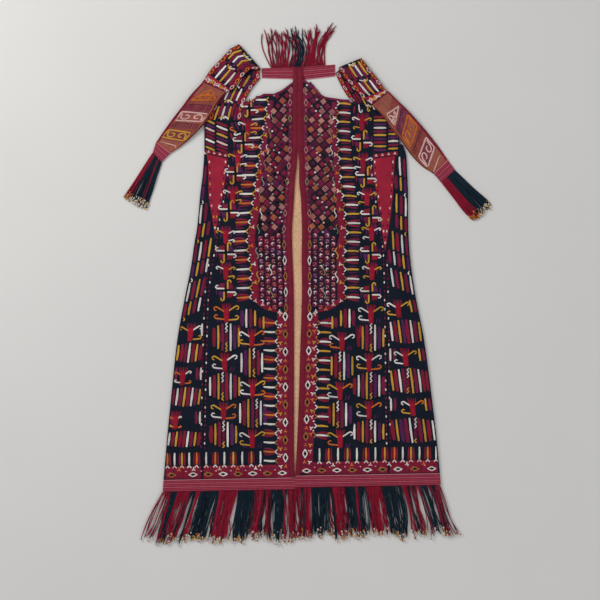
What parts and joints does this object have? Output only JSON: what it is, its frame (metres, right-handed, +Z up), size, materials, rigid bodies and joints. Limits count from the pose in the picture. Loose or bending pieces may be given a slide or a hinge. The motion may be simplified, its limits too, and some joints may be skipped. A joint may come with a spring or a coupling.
{
  "type": "long open-fronted mantle gown, laid flat",
  "caption": "Long embroidered gown laid flat, open down the front, with folded-over hanging sleeves, a neck band, a taped hem and fringes.",
  "frame": {"origin": "on the robe's centre line and on its flat underside, 0.61 m below the top of the neck band", "axes": "+X to the right half of the robe as seen, +Y towards the neck, +Z up from the surface it lies on"},
  "size_m": [1.0222, 1.4603, 0.012],
  "materials": {
    "silk_ground": "dark blue-black plain-weave silk under dense silk embroidery",
    "silk_gusset": "plain crimson silk with a soft sheen",
    "silk_binding": "dark red silk edge binding",
    "printed_lining": "peach cotton lining printed with small brown dots",
    "sleeve_salmon": "salmon silk, outlined with motifs in chain stitch",
    "woven_tape": "narrow pink-red woven tape with dark stripes",
    "fringe_thread": "twisted silk fringe in crimson and blue-black, knotted at the tips"
  },
  "bodies": {
    "root": {"back_panel": "silk_ground", "back_lining": "printed_lining", "front_left": "silk_ground", "front_right": "silk_ground", "edge_binding_left": "silk_binding", "edge_binding_right": "silk_binding", "shoulder_patch_left": "silk_ground", "shoulder_patch_right": "silk_ground", "gusset_left": "silk_gusset", "gusset_right": "silk_gusset", "side_panel_left": "silk_ground", "side_panel_right": "silk_ground", "hem_tape_left": "woven_tape", "hem_tape_right": "woven_tape", "hem_tape_back": "woven_tape", "sleeve_left": "silk_ground", "sleeve_right": "silk_ground", "sleeve_panel_left": "sleeve_salmon", "sleeve_panel_right": "sleeve_salmon", "cuff_left": "woven_tape", "cuff_right": "woven_tape", "neck_band_left": "woven_tape", "neck_band_right": "woven_tape", "cuff_fringe_left": "fringe_thread", "cuff_fringe_right": "fringe_thread", "neck_fringe": "fringe_thread", "hem_fringe_left": "fringe_thread", "hem_fringe_right": "fringe_thread", "hem_fringe_back": "fringe_thread"}
  },
  "joints": []
}
